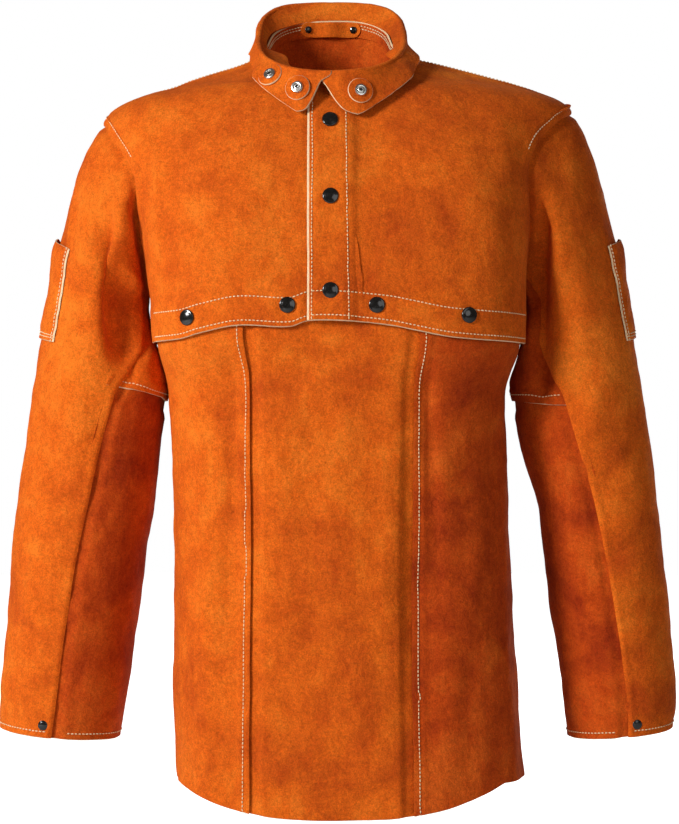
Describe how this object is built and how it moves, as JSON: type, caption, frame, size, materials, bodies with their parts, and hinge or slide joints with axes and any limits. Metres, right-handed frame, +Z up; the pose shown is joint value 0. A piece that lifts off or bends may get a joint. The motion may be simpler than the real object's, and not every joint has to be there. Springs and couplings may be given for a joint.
{
  "type": "welding cape with bib",
  "caption": "Split-leather welding cape: a short long-sleeved jacket with a turned-down collar, a snap front and a long three-panel bib snapped under its hem.",
  "frame": {"origin": "between the shoulders, level with the points where the shoulder lines meet the collar", "axes": "+X to the right as seen from the front, +Y to the back, +Z up; the front faces -Y"},
  "size_m": [0.6721, 0.2686, 0.8101],
  "materials": {
    "split_leather": "napped split cowhide, rust orange, cream at its cut edges",
    "black_enamel": "glossy black baked enamel over pressed metal",
    "bright_steel": "bright plated steel"
  },
  "bodies": {
    "root": {"yoke_front_left": "split_leather", "yoke_front_right": "split_leather", "yoke_back": "split_leather", "placket_facing": "split_leather", "hem_facing_left": "split_leather", "hem_facing_right": "split_leather", "bib_centre": "split_leather", "bib_side_left": "split_leather", "bib_side_right": "split_leather", "collar": "split_leather", "hanger_loop": "split_leather", "collar_washer_1": "split_leather", "collar_washer_2": "split_leather", "collar_washer_3": "split_leather", "sleeve_top_left": "split_leather", "sleeve_gusset_left": "split_leather", "sleeve_under_left": "split_leather", "sleeve_pocket_left": "split_leather", "sleeve_top_right": "split_leather", "sleeve_gusset_right": "split_leather", "sleeve_under_right": "split_leather", "sleeve_pocket_right": "split_leather", "placket_snap_top": "black_enamel", "placket_snap_middle": "black_enamel", "placket_snap_bottom": "black_enamel", "bib_snap_1": "black_enamel", "bib_snap_2": "black_enamel", "bib_snap_3": "black_enamel", "bib_snap_4": "black_enamel", "cuff_snap_left": "black_enamel", "hanger_rivet_left": "black_enamel", "cuff_snap_right": "black_enamel", "hanger_rivet_right": "black_enamel", "collar_stud_1": "bright_steel", "collar_stud_2": "bright_steel", "collar_stud_3": "bright_steel"}
  },
  "joints": []
}
